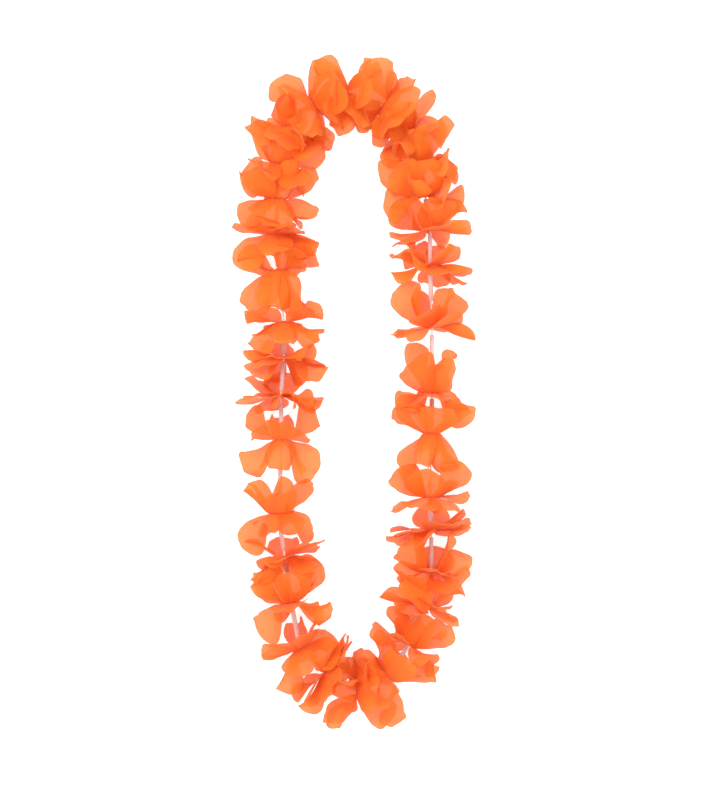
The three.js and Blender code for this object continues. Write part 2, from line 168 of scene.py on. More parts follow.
# Each flower: x and y of its hole, then the place of the border with the next flower, as a share of
# the way there. Then, for its rear layer and for its front one, in degrees: the turn about the cord,
# how far the petals lean forward along it, how much more the upper ones do, how much more the outer
# ones do, and how far the sideways ones are twisted to show their faces.
FLOWERS = [
    (-4.5, 224, 0.6, (0, -32, -10, 0, 60), (36, 34, 25, 0, 20)),
    (22.5, 215.5, 0.35, (18, -22, -35, 20, 70), (54, 14, 25, 0, 30)),
    (41, 196, 0.25, (10, -40, -25, 15, 20), (46, -5, 10, 0, 60)),
    (50.5, 171.5, 0.2, (0, -50, -15, 0, 75), (36, -35, -10, 0, 60)),
    (53.5, 146.5, 0.2, (0, -55, -20, 0, 75), (36, -35, -15, 0, 60)),
    (57, 121, 0.35, (54, -35, -30, 0, 50), (90, 5, -25, 15, 8)),
    (57, 95, 0.42, (18, -10, 30, 0, 10), (54, 8, -28, 0, 10)),
    (58.5, 48, 0.3, (36, -45, 25, 0, 65), (0, 2, -12, 0, 10)),
    (58.5, -1, 0.5, (50, -55, 5, 0, 70), (86, -8, 25, 0, 60)),
    (58, -31, 0.6, (10, -35, -20, 0, 40), (46, 38, 20, 0, 50)),
    (57, -79, 0.5, (18, -50, -15, 0, 60), (54, 2, 0, 0, 10)),
    (58, -104, 0.3, (0, -10, 0, -20, 10), (36, 8, 0, -20, 10)),
    (58, -136, 0.5, (20, -35, 40, 0, 70), (56, -14, 45, 0, 60)),
    (52.5, -161, 0.3, (0, -30, 0, 0, 30), (36, 5, 0, 0, 12)),
    (41, -189.5, 0.3, (10, -45, -15, 0, 70), (46, 0, 0, 0, 15)),
    (25.5, -213, 0.5, (20, -40, -10, 0, 70), (56, 25, 10, 0, 60)),
    (2, -223.5, 0.5, (8, -45, -10, 0, 60), (44, 20, 0, 0, 70)),
    (-22, -210, 0.4, (10, -6, 0, 0, 8), (46, 6, 0, 0, 8)),
    (-40.5, -192, 0.6, (0, -35, 10, 0, 60), (36, 20, 0, 0, 12)),
    (-47, -158, 0.6, (10, -25, 15, 0, 70), (46, 45, 10, 0, 60)),
    (-52, -123, 0.5, (20, -18, 20, 0, 12), (56, 5, 0, 0, 12)),
    (-57, -91, 0.65, (0, -10, 25, 0, 60), (36, 42, 5, 0, 40)),
    (-54, -36, 0.5, (15, -50, -10, 0, 70), (51, 22, -20, 0, 60)),
    (-55, -4, 0.4, (0, -8, 0, 12, 8), (36, 8, 0, 12, 8)),
    (-52.5, 27, 0.4, (18, -25, 28, 0, 30), (54, 0, 0, 0, 8)),
    (-52.5, 52.5, 0.25, (18, -26, 0, 0, 35), (54, 2, 0, 0, 15)),
    (-57, 91.5, 0.35, (0, -58, -15, 0, 75), (36, 12, 25, 10, 40)),
    (-58.5, 118.5, 0.45, (18, -42, -5, 0, 70), (54, 0, 0, 10, 15)),
    (-57.5, 144.5, 0.6, (18, -30, -15, 0, 50), (54, 38, 15, -10, 50)),
    (-56, 171, 0.8, (0, -15, 0, 0, 50), (36, 45, 20, 0, 70)),
    (-48.5, 196, 0.6, (24, -25, -10, 20, 60), (60, 5, 0, 46, 35)),
    (-30.5, 216, 0.7, (0, -5, 0, 0, 80), (36, 45, 10, 0, 70)),
]

# Flowers whose petals are caught up with those of the next one, by number.
CAUGHT_UP = (1, 3, 13, 29, 31)

COUNT = len(FLOWERS)
UP = np.array([0.0, 0.0, 1.0])
RIGHT = np.array([1.0, 0.0, 0.0])
STEEP = 0.9  # the upward part of a direction that counts as straight up
TAU = 2 * math.pi
SECTOR = TAU / PETALS
HUB_REACH = NOTCH_RADIUS * math.cos(SECTOR / 2)  # from the cord to the root of a petal
LAYERS = (-1, 1)  # the rear layer of a flower and the front one

# The cloth's grid: radii of the rows in the hub and what they count as along a petal, stations of the
# rows along the petal, and places across it, closer together at the edges
HUB_ROWS = (HOLE_RADIUS, 4)
HUB_STATIONS = (-0.2, -0.1, 0.0)
ROWS = (0.06, 0.14, 0.22, 0.31, 0.4, 0.49, 0.58, 0.67, 0.75, 0.82, 0.88, 0.93, 0.965, 0.988, 0.998)
ACROSS = np.sin(np.linspace(-math.pi / 2, math.pi / 2, 17))
LEAST_STATION = 0.02  # where the pattern's width is taken for what lies nearer to the hub
WELD_DECIMALS = 3  # points alike to this many decimals are one
LEAST_NORMAL = 1e-9

# What the surface knows of its points, by name, and what it knows at a loose thread
FACTS = ("along", "across", "tone")
THREAD_FACTS = (1.0, 1.0, 0.5, 0.0, 0.0)


class Kind:
    """What a draw decides, as the number that sets it apart from a petal's other draws."""

    PLACE = 1
    BEND = 2
    LENGTH = 3
    WIDTH = 4
    TWIST = 5
    ROLL = 6
    WAVE = 7
    PHASE = 8
    CRUMPLE = 10
    TONE = 11
    SPREAD = 12
    ROLLED_UP = 13
    ROLL_SIDE = 14
    PINCHED = 15
    STRAY = 16
    SAG = 17
    FRAY_STATION = 20
    FRAY_LENGTH = 40


def draw(i, j, kind):
    """A repeatable draw from 0 to 1 for petal j of flower i, kind by kind."""
    x = math.sin(i * 12.9898 + j * 78.233 + kind * 37.719) * 43758.5453
    return x - math.floor(x)


def between(least, most, share):
    return least + (most - least) * share


def unit(v):
    """A vector, or each row of an array of them, at length 1."""
    return v / np.linalg.norm(v, axis=-1, keepdims=True)


# ---- Where the flowers sit and which way they face ----


def threaded():
    """The axes of each flower, the poses of its layers, and its borders with its neighbours."""
    hubs = [
        np.array([x, y, CORD_HEIGHT + CORD_RIPPLE * math.sin(RIPPLE_STEP * i)])
        for i, (x, y, *_) in enumerate(FLOWERS)
    ]
    steps = [hubs[(i + 1) % COUNT] - hub for i, hub in enumerate(hubs)]
    ways = [unit(step) for step in steps]
    borders = [hub + step * flower[2] for hub, step, flower in zip(hubs, steps, FLOWERS)]
    flowers = []
    for i, (_, _, _, *layers) in enumerate(FLOWERS):
        ahead = unit(ways[i - 1] + ways[i])
        outward = unit(np.cross(UP, ahead))
        turn = math.acos(min(1.0, float(ways[i - 1] @ ways[i])))
        flowers.append(
            SimpleNamespace(
                hub=hubs[i],
                ahead=ahead,
                outward=outward,
                upward=np.cross(ahead, outward),
                poses=[[math.radians(angle) for angle in layer] for layer in layers],
                behind=(borders[i - 1], -ways[i - 1], i in CAUGHT_UP),
                before=(borders[i], ways[i], i + 1 in CAUGHT_UP),
                half_turn=turn / 2,
            )
        )
    return flowers


# ---- The form of a petal ----


def width_at(s):
    """A petal's half width at station s, as a share of the widest: a narrow root, then a round lobe."""
    root = ROOT_WIDTH + (1 - ROOT_WIDTH) * np.sin(math.pi * np.clip(s, 0, MIDDLE))
    lobe = np.sqrt(np.maximum(0, 1 - (2 * np.maximum(s, MIDDLE) - 1) ** 2))
    return np.where(s < MIDDLE, root, lobe)


def about_lobe(s, y):
    """Where a point of a petal lies about the middle of its lobe: how far out, and at which angle."""
    u = 2 * s - 1
    return np.sqrt(u * u + y * y), np.arctan2(y, u)


def round_lobe(waves, petal, around):
    """The sum of some waves round a petal's lobe."""
    return sum(height * np.sin(count * around + shift * petal.phase) for height, count, shift in waves)


def frilled(petal, s, y):
    """Where a point lies once the petal's edge is cut unevenly."""
    r, around = about_lobe(s, y)
    cut = round_lobe(EDGE_CUT, petal, around)
    grown = 1 + petal.crumple * cut * r * r * np.clip(s / EDGE_CUT_FROM, 0, 1)
    return MIDDLE + (s - MIDDLE) * grown, y * grown


def ripples(petal, s, y):
    """The height of the soft folds along a petal and of the flutter of its edge."""
    r, around = about_lobe(s, y)
    folds = sum(
        height * np.sin(across * y + along * s + shift * petal.phase)
        for height, across, along, shift in FOLDS
    )
    flutter = round_lobe(FLUTTER, petal, around)
    return petal.crumple * s * (folds * (1 - FOLDS_FADE * s) + flutter * r**4)


def rolled(petal, s, y):
    """Where a point lies across a petal that is rolled about its length, and how far that lifts it."""
    roll = petal.roll * petal.pinch * (ROOT_ROLL + (1 - ROOT_ROLL) * np.clip(s, 0, 1))
    return np.sin(roll * y) / roll, petal.width / 2 * (1 - np.cos(roll * y)) / roll


def arched(petal, s):
    """The lean of a petal at station s, folded at its root and curled from there on.

    Also how far out and how far ahead it reaches there, in lengths of the petal.
    """
    fold = petal.bend * FOLD_SHARE
    curl = (petal.bend - fold) or LEAST_CURL
    angle = fold + curl * s
    return angle, (np.sin(angle) - math.sin(fold)) / curl, (math.cos(fold) - np.cos(angle)) / curl


def twisted(petal, s):
    """How far a petal is twisted at station s. Cloth has all of its twist where its lobe starts."""
    share = np.sin(np.clip(s / TWISTED_BY, 0, 1) * math.pi / 2) if petal.is_cloth else s
    return petal.twist * share


def seated(petal, heights):
    """Heights of a petal's points, held above the surface, which cloth comes down on softly."""
    if not petal.is_cloth:
        return np.maximum(heights, SEAT)
    seat = SEAT + petal.rank * SEAT_STEP
    above = heights - seat
    return seat + (above + np.sqrt(above * above + SEAT_EASE**2)) / 2


def petal_points(flower, petal, s, q):
    """Points of a petal's middle surface: s runs along it and q across it, from -1 to 1."""
    s, q = np.broadcast_arrays(np.asarray(s, float), np.asarray(q, float))
    s, q = s[..., None], q[..., None]
    wide = width_at(s)
    half = petal.width / 2

    # The petal spread out flat, then waved, cut and rolled: y is where a point lies across it.
    y = q * wide
    lift = petal.wave * s * np.sin(WAVE_ACROSS * y + petal.phase) + ripples(petal, s, y)
    s, y = frilled(petal, s, y)
    y, rise = rolled(petal, s, y)

    # Its directions once it leans and is twisted about its own length
    angle, out, along = arched(petal, s)
    azimuth = petal.place + petal.stray
    outward = flower.outward * math.cos(azimuth) + flower.upward * math.sin(azimuth)
    sideways = flower.upward * math.cos(azimuth) - flower.outward * math.sin(azimuth)
    normal = flower.ahead * np.cos(angle) - outward * np.sin(angle)
    twist = twisted(petal, s)
    across = sideways * np.cos(twist) + normal * np.sin(twist)
    face = normal * np.cos(twist) - sideways * np.sin(twist)

    # A twisted petal stands off the other layer, so that the two don't cross.
    clear = wide + (np.where(s < MIDDLE, wide, 1) - wide) * petal.spread
    standing_off = petal.step + half * clear * np.abs(np.sin(twist))
    points = flower.hub + outward * (HUB_REACH + petal.length * out)
    points = points + flower.ahead * (petal.side * standing_off + petal.length * along)
    points = points + across * y * half + face * (lift + rise)
    points[..., 2] = seated(petal, points[..., 2])
    return points


# ---- Where each petal settles ----


def sunk(flower, petal):
    """How far the tip of a petal's midrib would lie below the surface."""
    _, out, _ = arched(petal, 1)
    return SEAT - flower.hub[2] - (HUB_REACH + petal.length * out) * math.sin(petal.place)


def crosses(flower, petal, border):
    """Whether a petal reaches further past a border than it may."""
    point, way, is_open = border
    stations = np.array(SOLID_ROWS)[:, None]
    reach = (petal_points(flower, petal, stations, SOLID_ACROSS) - point) @ way
    return bool((reach > (CAUGHT_UP_REACH if is_open else BORDER_REACH)).any())


def settle(flower, petal):
    """Bends a petal off the surface and off its neighbours, and shortens it where that isn't enough."""
    lean = -1 if petal.bend < 0 else 1
    for _ in range(SETTLE_TRIES):
        for _ in range(SETTLE_TRIES):
            behind = crosses(flower, petal, flower.behind)
            ahead = crosses(flower, petal, flower.before)
            low = sunk(flower, petal) > PRESSED
            if not behind and not ahead and not low:
                return petal
            if behind and ahead:
                break
            if ahead:
                petal.bend -= SETTLE_STEP
            elif behind:
                petal.bend += SETTLE_STEP
            else:
                petal.bend += lean * SETTLE_STEP
        petal.length *= SHORTEN
    return petal


def solid_petal(flower, i, layer, k):
    """Petal k of a layer in the form that its solid has."""
    turn, lean, nod, yaw, twist = flower.poses[layer]
    j = layer * PETALS + k

    def drawn(kind):
        return draw(i, j, kind)

    place = turn + SECTOR * k + between(-SWAY, SWAY, drawn(Kind.PLACE))
    bend = lean + nod * math.sin(place) + yaw * math.cos(place)
    sideways = LAYERS[layer] * math.cos(place)
    roll = ROLLED_UP if drawn(Kind.ROLLED_UP) < ROLLED_SHARE else between(*ROLLS, drawn(Kind.ROLL))
    return SimpleNamespace(
        is_cloth=False,
        rank=j,
        side=LAYERS[layer],
        step=LAYER_STEP,
        place=place,
        stray=0,
        bend=bend + between(-JITTER, JITTER, drawn(Kind.BEND)),
        length=(FLOWER_RADIUS - HUB_REACH) * between(*LENGTHS, drawn(Kind.LENGTH)),
        width=PETAL_WIDTH * between(*WIDTHS, drawn(Kind.WIDTH)),
        twist=sideways * (LEAST_TWIST + twist) * between(*TWISTS, drawn(Kind.TWIST)),
        roll=roll if drawn(Kind.ROLL_SIDE) < 0.5 else -roll,
        pinch=1,
        wave=between(*WAVES, drawn(Kind.WAVE)),
        phase=TAU * drawn(Kind.PHASE),
        crumple=0,
        spread=0,
    )


def turn_to_cloth(petal, i):
    """Gives a settled petal of flower i what its cloth has and its solid hasn't."""

    def drawn(kind):
        return draw(i, petal.rank, kind)

    roll = abs(petal.roll)
    petal.is_cloth = True
    petal.step = CLOTH_STEP
    petal.stray = between(-STRAY, STRAY, drawn(Kind.STRAY))
    petal.bend += between(-SAG, SAG, drawn(Kind.SAG))
    if drawn(Kind.PINCHED) < PINCHED_SHARE:
        petal.pinch = PINCHED / roll
    elif roll == ROLLED_UP:
        petal.pinch = FINGER_ROLL
    petal.crumple = between(*CRUMPLES, drawn(Kind.CRUMPLE))
    petal.spread = between(*SPREADS, drawn(Kind.SPREAD))
    petal.tone = drawn(Kind.TONE)


def petals_of(flower, i, layer):
    """The petals of a layer in cloth, each settled as its solid is."""
    petals = [settle(flower, solid_petal(flower, i, layer, k)) for k in range(PETALS)]
    for petal in petals:
        turn_to_cloth(petal, i)
    return petals


# ---- Meshes ----


class Cloth:
    """The middle surface of a flower's cloth, gathered as points, faces and what each point knows."""

    def __init__(self):
        self.points, self.faces, self.facts = [], [], []
        self.count = 0

    def grid(self, points, facts):
        """Adds a grid of points, rows by columns, with the same number of facts for each."""
        rows, columns = points.shape[:2]
        index = np.arange(rows * columns).reshape(rows, columns) + self.count
        corners = (index[:-1, :-1], index[:-1, 1:], index[1:, 1:], index[1:, :-1])
        self.faces.append(np.stack(corners, axis=-1).reshape(-1, 4))
        self.points.append(points.reshape(-1, 3))
        self.facts.append(facts.reshape(rows * columns, -1))
        self.count += rows * columns

    def welded(self):
        """The points with those that coincide made one, their facts, and the faces between them."""
        points = np.vstack(self.points)
        facts = np.vstack(self.facts)
        faces = np.vstack(self.faces)
        places = np.round(points, WELD_DECIMALS)
        _, first, same = np.unique(places, axis=0, return_index=True, return_inverse=True)
        return points[first], facts[first], same.reshape(-1)[faces]


def on_disc(flower, petal, azimuth, radius):
    """Points of the disc that a petal's layer is cut from."""
    spread = flower.outward * np.cos(azimuth)[:, None] + flower.upward * np.sin(azimuth)[:, None]
    return flower.hub + flower.ahead * petal.side * petal.step + spread * radius


def petal_grid(flower, petal, right, left):
    """A petal and its part of the disc, between two notches: a grid of points, and their facts."""
    share = (ACROSS + 1) / 2
    azimuth = right + (left - right) * share
    rows = [on_disc(flower, petal, azimuth, radius) for radius in HUB_ROWS]
    ends = on_disc(flower, petal, np.array([right, left]), NOTCH_RADIUS)
    rows.append(ends[0] + (ends[1] - ends[0]) * share[:, None])
    rows += [petal_points(flower, petal, s, ACROSS) for s in ROWS]
    across, along = np.meshgrid(ACROSS, HUB_STATIONS + ROWS)
    half = petal.width / 2 * width_at(np.maximum(along, LEAST_STATION))
    facts = [along, across, np.full_like(along, petal.tone), across * half, along * petal.length]
    return np.stack(rows), np.stack(facts, axis=-1)


def add_layer(cloth, flower, i, layer):
    """Adds a layer of a flower to its cloth, and returns the layer's petals."""
    petals = petals_of(flower, i, layer)
    places = [petal.place for petal in petals] + [petals[0].place + TAU]
    notches = [(a + b) / 2 for a, b in zip(places, places[1:])]
    rights = [notches[-1] - TAU] + notches[:-1]
    for petal, right, left in zip(petals, rights, notches):
        cloth.grid(*petal_grid(flower, petal, right, left))
    return petals


def tube(route, radius, sides):
    """A round tube along a route of points, closed at both ends, as points and faces."""
    route = np.asarray(route, float)
    ahead = unit(np.gradient(route, axis=0))
    side = unit(np.cross(ahead[0], UP if abs(ahead[0][2]) < STEEP else RIGHT))
    rings = []
    turn = TAU * np.arange(sides) / sides
    for point, way in zip(route, ahead):
        side = unit(side - way * (side @ way))
        up = np.cross(way, side)
        rings.append(point + radius * (np.cos(turn)[:, None] * side + np.sin(turn)[:, None] * up))
    points = np.vstack(rings)
    index = np.arange(len(points)).reshape(len(route), sides)
    after = np.roll(index, -1, axis=1)
    quads = np.stack([index[:-1], after[:-1], after[1:], index[1:]], axis=-1).reshape(-1, 4).tolist()
    return points, quads + [index[0][::-1].tolist(), index[-1].tolist()]


def fray(flower, petal):
    """A loose thread at the cut edge of a petal, as points and faces."""
    own = round(10 * petal.tone)  # sets it apart from the same petal's thread on other flowers
    station = between(*FRAY_STATIONS, draw(petal.rank, 0, Kind.FRAY_STATION + own))
    side = 1 if petal.rank % 2 else -1
    at, inside = petal_points(flower, petal, station, np.array([side, FRAY_FROM * side]))
    length = FRAY_LENGTH * between(*FRAY_LENGTHS, draw(petal.rank, 0, Kind.FRAY_LENGTH + own))
    bow = flower.ahead * math.sin(petal.phase) * FRAY_BOW * length
    s = np.linspace(0, 1, FRAY_STEPS)[:, None]
    route = at + unit(at - inside) * length * s + bow * s * s
    route[:, 2] = np.maximum(route[:, 2], SEAT)
    return tube(route, FRAY_DIAMETER / 2, FRAY_SIDES)


def thicken(points, faces, thickness):
    """Both faces and the rim of thin cloth around a middle surface."""
    normals = np.zeros_like(points)
    a, b, c, d = (points[faces[:, n]] for n in range(4))
    face_normals = np.cross(c - a, d - b)
    for n in range(4):
        np.add.at(normals, faces[:, n], face_normals)
    normals /= np.maximum(np.linalg.norm(normals, axis=1, keepdims=True), LEAST_NORMAL)
    count = len(points)
    open_edges = {}
    for face in faces.tolist():
        for at, to in zip(face, face[1:] + face[:1]):
            if (to, at) in open_edges:
                del open_edges[(to, at)]
            else:
                open_edges[(at, to)] = True
    rim = [(at, at + count, to + count, to) for at, to in open_edges]
    solid = np.vstack([points + normals * thickness / 2, points - normals * thickness / 2])
    return solid, np.vstack([faces, faces[:, ::-1] + count, np.array(rim)])


def joined(parts):
    """Several pairs of points and faces as one."""
    points, faces, count = [], [], 0
    for part_points, part_faces in parts:
        points.append(part_points)
        faces += [[v + count for v in face] for face in part_faces]
        count += len(part_points)
    return np.vstack(points), faces


def make_piece(name, points, faces, material, facts=None):
    """A piece from points in millimetres. facts are along, across, tone and two lengths on the cloth."""
    mesh = bpy.data.meshes.new(name)
    mesh.from_pydata((points * MM).tolist(), [], [list(map(int, face)) for face in faces])
    mesh.materials.append(material)
    mesh.polygons.foreach_set("use_smooth", np.ones(len(mesh.polygons), bool))
    if facts is not None:
        for n, label in enumerate(FACTS):
            layer = mesh.attributes.new(label, "FLOAT", "POINT")
            layer.data.foreach_set("value", facts[:, n].astype(np.float32))
        loops = np.zeros(len(mesh.loops), np.int32)
        mesh.loops.foreach_get("vertex_index", loops)
        # The pattern runs in metres on the cloth, and the tone shifts it from petal to petal.
        tone, lengths = facts[:, 2:3], facts[:, 3:5]
        places = lengths * MM + tone
        uv = mesh.uv_layers.new(name="cloth")
        uv.data.foreach_set("uv", places[loops].astype(np.float32).ravel())
    piece = bpy.data.objects.new(name, mesh)
    bpy.context.scene.collection.objects.link(piece)
    return piece


def stand_in(piece, node_name):
    """Puts a piece in the place of a solid."""
    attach(piece, "root")
    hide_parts(node_name)


# ---- Materials: sizes in metres, and scales in repeats a metre ----


ROOT_ORANGE = (0.96, 0.19, 0.012, 1)
MIDDLE_ORANGE = (0.96, 0.285, 0.022, 1)
TIP_ORANGE = (0.96, 0.315, 0.03, 1)
PALE_ORANGE = (0.98, 0.385, 0.055, 1)
DEEP_ORANGE = (0.97, 0.2, 0.015, 1)
# painted light: the lighter orange laid along the ridges of the soft creases
CREASE_LIGHT_ORANGE = (0.98, 0.39, 0.06, 1)
EDGE_ORANGE = (0.88, 0.2, 0.04, 1)
SHEEN_ORANGE = (1.0, 0.75, 0.6, 1)
LIT_PINK = (1.0, 0.5, 0.32, 1)  # what light takes on in the cloth
SHEER_PINK = (1.0, 0.8, 0.74, 1)  # what it takes on between the threads
SHEER = 0.32  # share of the light that goes straight between them
LIT_THROUGH = 0.4  # share of the rest that the threads let through
LIT_TINT = 0.5
PALENESS = 0.5  # of the palest petal
MOTTLING = 0.35
# how strongly the painted light along the creases shows
CREASE_LIGHTING = 0.32
EDGE_DARKNESS = 0.25
SIDE_POWER = 14.0  # how close to a petal's sides its edge's colour stays
TIP_POWER = 22.0
BLOTCH_SCALE = 90.0
STREAK_SCALE = (700.0, 45.0, 1.0)  # across a petal and along it
WEAVE_SCALE = 520.0
STREAK_RELIEF = 2.0  # against the weave's
WEAVE_SMOOTHEST = 0.55
WEAVE_ROUGHER = 0.15

MILKY_PALE = (1.0, 0.95, 0.95, 1)
MILKY_DARK = (0.96, 0.88, 0.9, 1)
MILKY_LIT = (1.0, 0.93, 0.93, 1)
MILKY_THROUGH = 0.35
MILKY_SMOOTHEST = 0.2
MILKY_ROUGHER = 0.2

THREAD_WHITE = (0.95, 0.95, 0.94, 1)
THREAD_GREY = (0.8, 0.8, 0.8, 1)


def new_material(name):
    material = bpy.data.materials.new(name)
    material.use_nodes = True
    tree = material.node_tree
    tree.nodes.clear()
    return material, tree


def node(tree, kind, inputs, **settings):
    """A node whose inputs are linked to other nodes' outputs or set to values."""
    made = tree.nodes.new(kind)
    for key, value in settings.items():
        setattr(made, key, value)
    for key, value in inputs.items():
        if isinstance(value, bpy.types.NodeSocket):
            tree.links.new(value, made.inputs[key])
        else:
            made.inputs[key].default_value = value
    return made


def math_node(tree, operation, a, b=0.0):
    return node(tree, "ShaderNodeMath", {0: a, 1: b}, operation=operation).outputs[0]


def times(tree, a, b):
    return math_node(tree, "MULTIPLY", a, b)


def plus(tree, a, b):
    return math_node(tree, "ADD", a, b)


def fact(tree, name):
    return node(tree, "ShaderNodeAttribute", {}, attribute_name=name).outputs["Fac"]


def noise(tree, vector, *, scale, detail):
    inputs = {"Vector": vector, "Scale": scale, "Detail": detail}
    return node(tree, "ShaderNodeTexNoise", inputs).outputs["Fac"]


def bumped(tree, height, *, strength, distance):
    """The surface's direction once a height has dented it."""
    inputs = {"Height": height, "Strength": strength, "Distance": distance}
    return node(tree, "ShaderNodeBump", inputs).outputs["Normal"]


def mix_colour(tree, factor, a, b):
    """One colour over another. The node's first socket is the factor, and its colours are 6 and 7."""
    inputs = {0: factor, 6: a, 7: b}
    return node(tree, "ShaderNodeMix", inputs, data_type="RGBA", clamp_factor=True).outputs[2]


def mix_shader(tree, factor, a, b):
    return node(tree, "ShaderNodeMixShader", {0: factor, 1: a, 2: b}).outputs[0]


def ramp(tree, factor, stops):
    made = node(tree, "ShaderNodeValToRGB", {"Fac": factor})
    elements = made.color_ramp.elements
    while len(elements) < len(stops):
        elements.new(0.5)
    for element, (place, colour) in zip(elements, stops):
        element.position = place
        element.color = colour
    return made.outputs["Color"]


def show(tree, shader):
    node(tree, "ShaderNodeOutputMaterial", {"Surface": shader})


def fabric_colour(tree, cloth, streak):
    """Deep orange at the root and lighter further out, mottled, lighter along the soft creases with
    painted light, and darker at the cut edge.
    """
    along = fact(tree, "along")
    body = ramp(tree, along, ((0.0, ROOT_ORANGE), (0.45, MIDDLE_ORANGE), (1.0, TIP_ORANGE)))
    paler = mix_colour(tree, times(tree, fact(tree, "tone"), PALENESS), body, PALE_ORANGE)
    blotch = noise(tree, cloth, scale=BLOTCH_SCALE, detail=3.0)
    mottled = mix_colour(tree, times(tree, blotch, MOTTLING), paler, DEEP_ORANGE)
    # painted light: lighter orange along the ridges of the soft creases, which the same noise also dents
    # into the cloth
    crease_lit = mix_colour(tree, times(tree, streak, CREASE_LIGHTING), mottled, CREASE_LIGHT_ORANGE)
    side = math_node(tree, "POWER", math_node(tree, "ABSOLUTE", fact(tree, "across")), SIDE_POWER)
    tip = math_node(tree, "POWER", math_node(tree, "MAXIMUM", along, 0.0), TIP_POWER)
    edge = times(tree, math_node(tree, "MAXIMUM", side, tip), EDGE_DARKNESS)
    return mix_colour(tree, edge, crease_lit, EDGE_ORANGE)


def petal_fabric():
    """Thin woven polyester that lets light through, with faint creases along each petal, dented in and
    lighter along their ridges with painted light.
    """
    material, tree = new_material("petal_fabric")
    cloth = node(tree, "ShaderNodeUVMap", {}, uv_map="cloth").outputs["UV"]
    stretched = node(tree, "ShaderNodeMapping", {"Vector": cloth, "Scale": STREAK_SCALE})
    streak = noise(tree, stretched.outputs["Vector"], scale=1.0, detail=2.0)
    colour = fabric_colour(tree, cloth, streak)

    threads = {"Vector": cloth, "Scale": WEAVE_SCALE}
    warp = node(tree, "ShaderNodeTexWave", threads, bands_direction="X").outputs["Fac"]
    weft = node(tree, "ShaderNodeTexWave", threads, bands_direction="Y").outputs["Fac"]
    weave = times(tree, warp, weft)
    relief = plus(tree, weave, times(tree, streak, STREAK_RELIEF))
    normal = bumped(tree, relief, strength=0.45, distance=0.0002)

    surface = node(
        tree,
        "ShaderNodeBsdfPrincipled",
        {
            "Base Color": colour,
            "Roughness": plus(tree, times(tree, weave, WEAVE_ROUGHER), WEAVE_SMOOTHEST),
            "Normal": normal,
            "Specular IOR Level": 0.25,
            "Sheen Weight": 0.25,
            "Sheen Roughness": 0.45,
            "Sheen Tint": SHEEN_ORANGE,
        },
    )
    lit = mix_colour(tree, LIT_TINT, colour, LIT_PINK)
    passed = node(tree, "ShaderNodeBsdfTranslucent", {"Color": lit, "Normal": normal})
    straight = node(tree, "ShaderNodeBsdfTransparent", {"Color": SHEER_PINK})
    fibres = mix_shader(tree, LIT_THROUGH, surface.outputs[0], passed.outputs[0])
    show(tree, mix_shader(tree, SHEER, fibres, straight.outputs[0]))
    return material


def spacer_plastic():
    """Milky polyethylene, faintly cloudy."""
    material, tree = new_material("spacer_plastic")
    place = node(tree, "ShaderNodeTexCoord", {}).outputs["Object"]
    cloud = noise(tree, place, scale=400.0, detail=3.0)
    surface = node(
        tree,
        "ShaderNodeBsdfPrincipled",
        {
            "Base Color": mix_colour(tree, cloud, MILKY_PALE, MILKY_DARK),
            "Roughness": plus(tree, times(tree, cloud, MILKY_ROUGHER), MILKY_SMOOTHEST),
            "Normal": bumped(tree, cloud, strength=0.2, distance=0.0002),
            "IOR": 1.5,
            "Transmission Weight": 0.3,
        },
    )
    passed = node(tree, "ShaderNodeBsdfTranslucent", {"Color": MILKY_LIT})
    show(tree, mix_shader(tree, MILKY_THROUGH, surface.outputs[0], passed.outputs[0]))
    return material


def cord_thread():
    """White spun thread, with a little fuzz."""
    material, tree = new_material("cord_thread")
    place = node(tree, "ShaderNodeTexCoord", {}).outputs["Object"]
    fuzz = noise(tree, place, scale=2500.0, detail=4.0)
    surface = node(
        tree,
        "ShaderNodeBsdfPrincipled",
        {
            "Base Color": mix_colour(tree, fuzz, THREAD_WHITE, THREAD_GREY),
            "Roughness": 0.85,
            "Normal": bumped(tree, fuzz, strength=0.4, distance=0.0001),
            "Sheen Weight": 0.3,
        },
    )
    show(tree, surface.outputs[0])
    return material


def floor_paint():
    """Pale grey that glows a little, so that it comes out white as in the photo."""
    material, tree = new_material("floor_paint")
    surface = node(tree, "ShaderNodeBsdfDiffuse", {"Color": (FLOOR_GREY, FLOOR_GREY, FLOOR_GREY, 1)})
    glow = node(tree, "ShaderNodeEmission", {"Color": (1, 1, 1, 1), "Strength": FLOOR_GLOW})
    show(tree, node(tree, "ShaderNodeAddShader", {0: surface.outputs[0], 1: glow.outputs[0]}).outputs[0])
    return material


# ---- Flowers ----


def flower_groups():
    """The flowers of each piece: one, or two that are caught up together."""
    firsts = [i for i in range(COUNT) if i not in CAUGHT_UP]
    return [[i, i + 1] if i + 1 in CAUGHT_UP else [i] for i in firsts]


def flower_mesh(flowers, group):
    """The cloth of a piece's flowers with its loose threads: points, faces and facts."""
    cloth = Cloth()
    frays = []
    for i in group:
        for layer in range(len(LAYERS)):
            petals = add_layer(cloth, flowers[i], i, layer)
            frays += [fray(flowers[i], petal) for petal in petals]
    middle, facts, faces = cloth.welded()
    solid = thicken(middle, faces, CLOTH)
    points, faces = joined([(solid[0], solid[1].tolist()), *frays])
    thread_facts = np.tile(THREAD_FACTS, (len(points) - len(solid[0]), 1))
    return points, faces, np.vstack([facts, facts, thread_facts])


def dress_flowers(flowers, material):
    for group in flower_groups():
        numbers = "_".join(f"{i + 1:02d}" for i in group)
        node_name = f"flowers_{numbers}" if len(group) > 1 else f"flower_{numbers}"
        points, faces, facts = flower_mesh(flowers, group)
        piece = make_piece("cloth_" + node_name, points, faces, material, facts)
        stand_in(piece, node_name)


# ---- Spacer tubes ----


def standoff(flower):
    """How far from a flower's middle a tube stops, because the cord turns there."""
    turned = TUBE_DIAMETER / 2 * math.sin(flower.half_turn)
    return LAYER_STEP + SOLID_FABRIC / 2 + TUBE_CLEARANCE + turned


